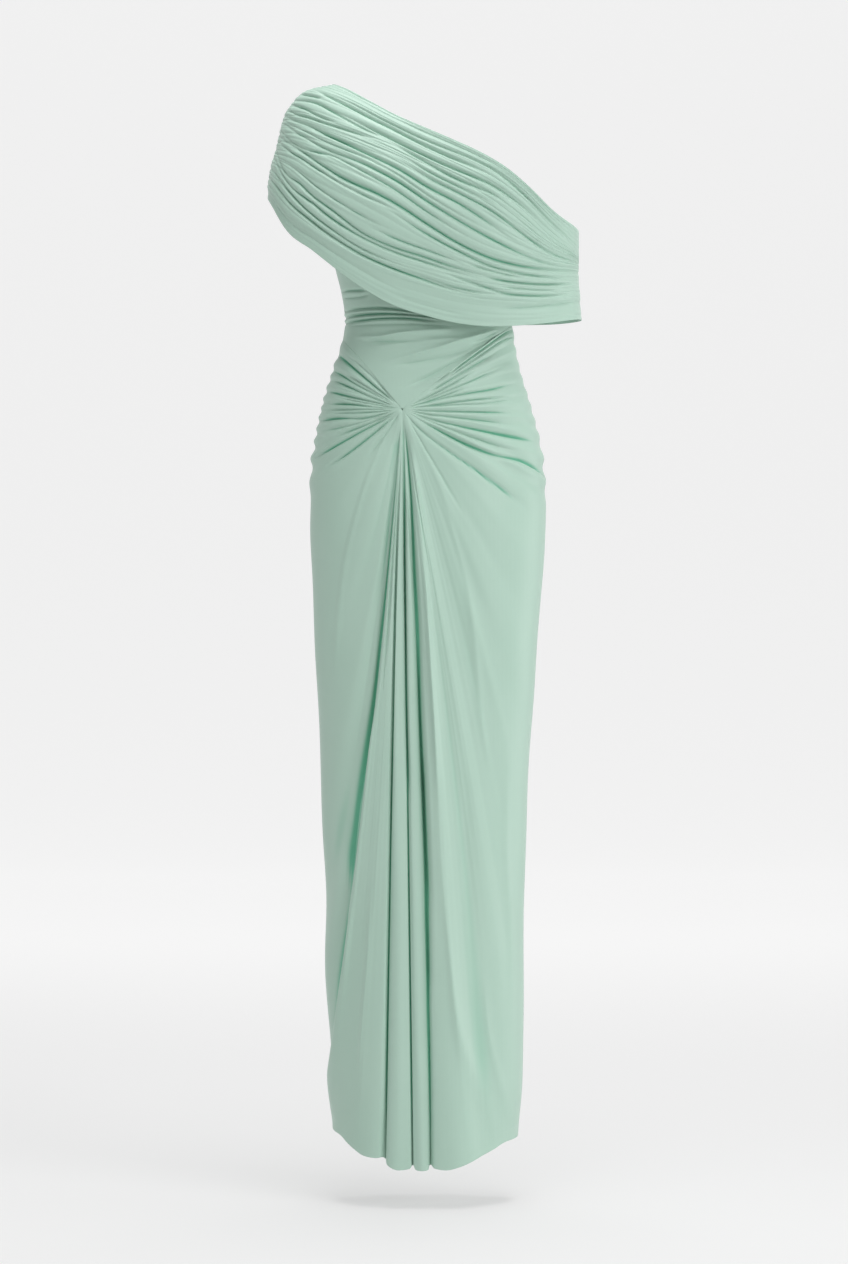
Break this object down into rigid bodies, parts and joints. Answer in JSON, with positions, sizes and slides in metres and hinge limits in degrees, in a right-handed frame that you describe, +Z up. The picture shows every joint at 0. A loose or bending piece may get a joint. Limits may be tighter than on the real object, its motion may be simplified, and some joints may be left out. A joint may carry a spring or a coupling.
{
  "type": "off-shoulder maxi dress",
  "caption": "Floor-length pegged jersey dress with a pleated one-shoulder drape round both arms and a skirt gathered to a point on the belly.",
  "frame": {"origin": "the point where the wearer's right shoulder carries the drape, just inside its cloth; the wearer holds the dress up there", "axes": "+X to the wearer's left side, -Y out of the front, +Z up the body; the dress hangs down to Z = -1.446 m"},
  "size_m": [0.425, 0.2446, 1.455],
  "materials": {
    "bodice_front_jersey": "matte satin viscose jersey, mint green",
    "bodice_back_jersey": "matte satin viscose jersey, mint green",
    "skirt_front_jersey": "matte satin viscose jersey, mint green",
    "skirt_back_right_jersey": "matte satin viscose jersey, mint green",
    "skirt_back_left_jersey": "matte satin viscose jersey, mint green",
    "drape_front_jersey": "matte satin viscose jersey, mint green",
    "drape_back_jersey": "matte satin viscose jersey, mint green"
  },
  "bodies": {
    "root": {"bodice_front": "bodice_front_jersey", "bodice_back": "bodice_back_jersey", "skirt_front": "skirt_front_jersey", "skirt_back_right": "skirt_back_right_jersey", "skirt_back_left": "skirt_back_left_jersey", "drape_front": "drape_front_jersey", "drape_back": "drape_back_jersey"}
  },
  "joints": []
}
